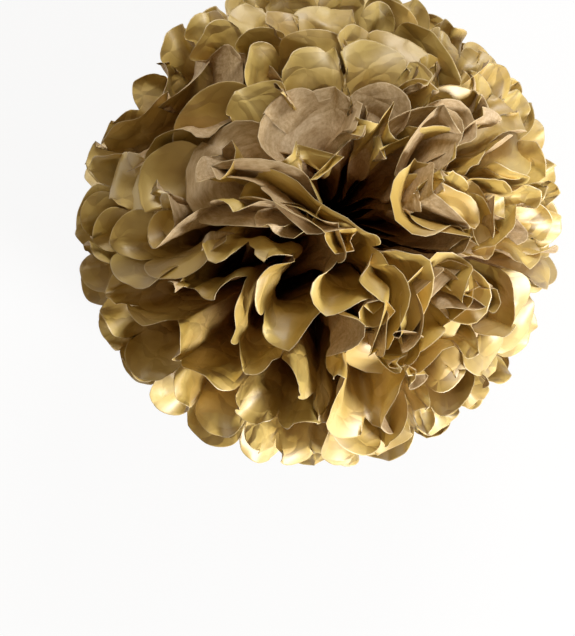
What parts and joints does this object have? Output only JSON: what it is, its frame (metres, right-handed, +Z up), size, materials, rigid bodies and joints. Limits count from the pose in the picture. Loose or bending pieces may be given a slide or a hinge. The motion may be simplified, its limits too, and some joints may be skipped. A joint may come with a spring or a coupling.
{
  "type": "tissue paper pom pom",
  "caption": "Round party decoration of pleated tissue sheets tied at the waist, their fans pulled apart into a ball of petals; it rests on its lowest petals or hangs by its tie.",
  "frame": {"origin": "on the table, under the middle of the ball's box", "axes": "+Z up along the axis that the fans open round; the folded strip ran along Y, so the two clefts between its opened halves run along X"},
  "size_m": [0.2392, 0.2428, 0.2284],
  "materials": {
    "gold_tissue": "satin metallic gold on one side, dull beige on the other",
    "white_ribbon": "white satin"
  },
  "bodies": {
    "root": {"tissue_sheet_01": "gold_tissue", "tissue_sheet_02": "gold_tissue", "tissue_sheet_03": "gold_tissue", "tissue_sheet_04": "gold_tissue", "tissue_sheet_05": "gold_tissue", "tissue_sheet_06": "gold_tissue", "tissue_sheet_07": "gold_tissue", "tissue_sheet_08": "gold_tissue", "tissue_sheet_09": "gold_tissue", "tissue_sheet_10": "gold_tissue", "waist_ribbon": "white_ribbon"}
  },
  "joints": []
}
